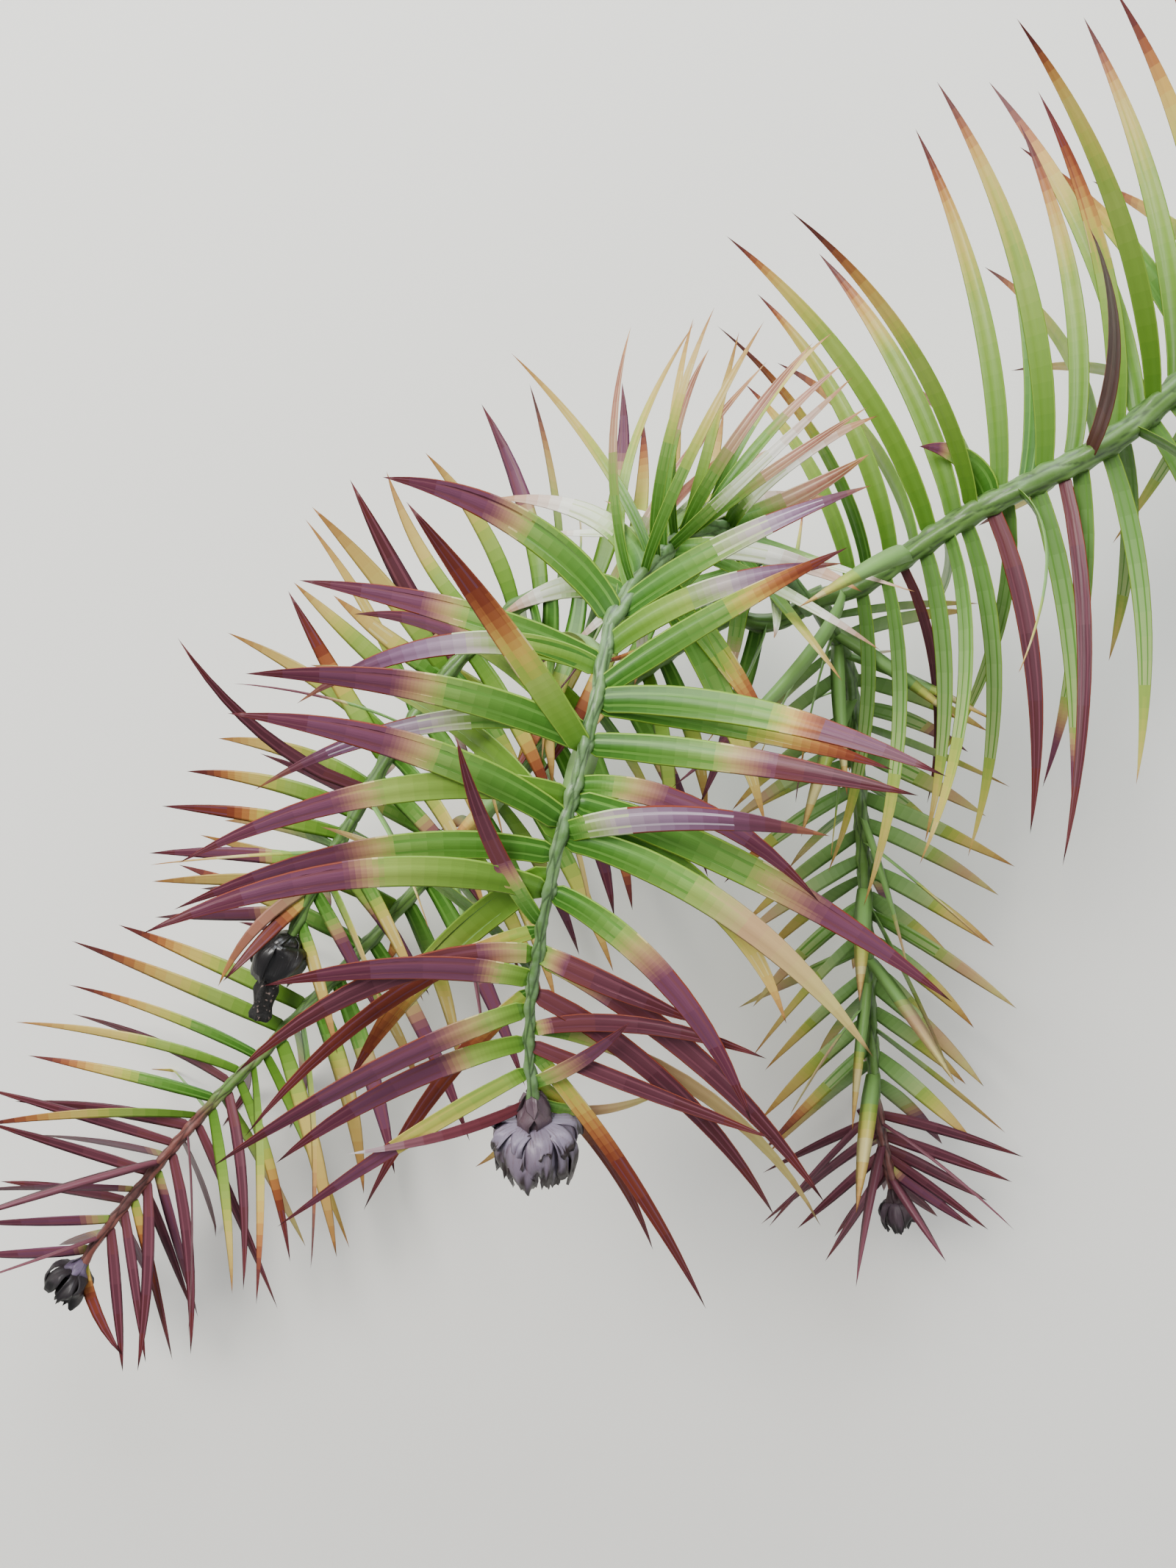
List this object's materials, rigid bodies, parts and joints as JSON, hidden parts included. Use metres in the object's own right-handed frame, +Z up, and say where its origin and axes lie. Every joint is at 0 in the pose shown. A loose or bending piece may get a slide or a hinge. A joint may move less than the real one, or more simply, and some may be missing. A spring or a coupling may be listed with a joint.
{
  "type": "china fir branch",
  "caption": "Cut branch of china fir: a leafy main shoot forks into side shoots with flat, pointed needle leaves, browned tips and dry cones at the ends.",
  "frame": {"origin": "on the surface that the branch lies on, under the centre of its bounding box", "axes": "+X to the right and +Y to the top as seen by a viewer looking straight down at the branch, +Z up; the cut end points to +X and +Y"},
  "size_m": [0.2932, 0.2882, 0.1483],
  "materials": {
    "bark": "young green bark with grey-brown flakes, satin",
    "leaf": "stiff needle leaf, glossy green going yellow and rust to its point",
    "dead_leaf": "dry needle leaf, maroon and tan, satin",
    "cone": "dry papery scales, grey-lilac with dark brown edges",
    "old_cone": "weathered black-brown wood, glossy in places"
  },
  "bodies": {
    "root": {"cut_stem": "bark", "dead_stub": "old_cone", "main_shoot": "leaf", "central_shoot_back": "leaf", "central_shoot_front": "leaf", "right_shoot": "leaf", "right_tip": "dead_leaf", "upper_left_shoot": "leaf", "upper_left_tip": "dead_leaf", "lower_left_shoot": "leaf", "lower_left_tip": "dead_leaf", "central_cone": "cone", "right_cone": "cone", "lower_left_cone": "cone", "upper_left_cone": "old_cone"}
  },
  "joints": []
}
